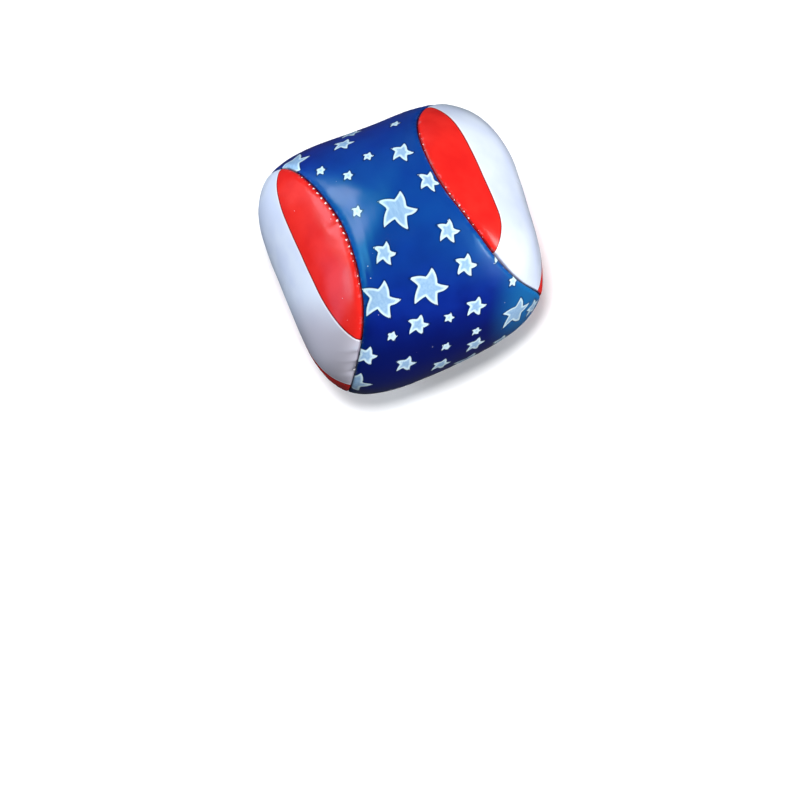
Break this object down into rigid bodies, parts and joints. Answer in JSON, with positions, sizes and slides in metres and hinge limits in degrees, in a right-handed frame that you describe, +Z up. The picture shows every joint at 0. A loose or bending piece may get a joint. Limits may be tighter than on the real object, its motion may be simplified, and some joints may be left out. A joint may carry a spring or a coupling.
{
  "type": "footbag",
  "caption": "Soft square-shouldered footbag of two interlocking peanut-shaped vinyl panels, starred and striped, sewn along one continuous seam round a loose pellet fill.",
  "frame": {"origin": "on the ground, under the middle of the bag", "axes": "+Z up from the striped panel's waist, which rests on the ground, to the starred panel's waist; X across the two striped lobes; Y along the starred panel from lobe to lobe"},
  "size_m": [0.05, 0.049, 0.049],
  "materials": {
    "star_vinyl": "glossy printed vinyl, navy with pale blue stars",
    "stripe_vinyl": "glossy printed vinyl, red and white stripes",
    "thread": "white polyester sewing thread",
    "pellets": "natural plastic pellets"
  },
  "bodies": {
    "cover": {"star_panel": "star_vinyl", "stripe_panel": "stripe_vinyl", "seam_thread": "thread", "closing_thread": "thread", "closing_knot": "thread"},
    "fill": {"pellet_bed": "pellets", "pellet_01": "pellets", "pellet_02": "pellets", "pellet_03": "pellets", "pellet_04": "pellets", "pellet_05": "pellets", "pellet_06": "pellets", "pellet_07": "pellets", "pellet_08": "pellets", "pellet_09": "pellets", "pellet_10": "pellets", "pellet_11": "pellets", "pellet_12": "pellets", "pellet_13": "pellets", "pellet_14": "pellets", "pellet_15": "pellets", "pellet_16": "pellets", "pellet_17": "pellets", "pellet_18": "pellets", "pellet_19": "pellets", "pellet_20": "pellets", "pellet_21": "pellets", "pellet_22": "pellets", "pellet_23": "pellets", "pellet_24": "pellets", "pellet_25": "pellets", "pellet_26": "pellets", "pellet_27": "pellets", "pellet_28": "pellets", "pellet_29": "pellets", "pellet_30": "pellets", "pellet_31": "pellets"}
  },
  "joints": [
    {"name": "fill_shift", "type": "slide", "parent": "cover", "child": "fill", "axis": [0, 0, 1], "range_m": [0, 0.004]}
  ]
}
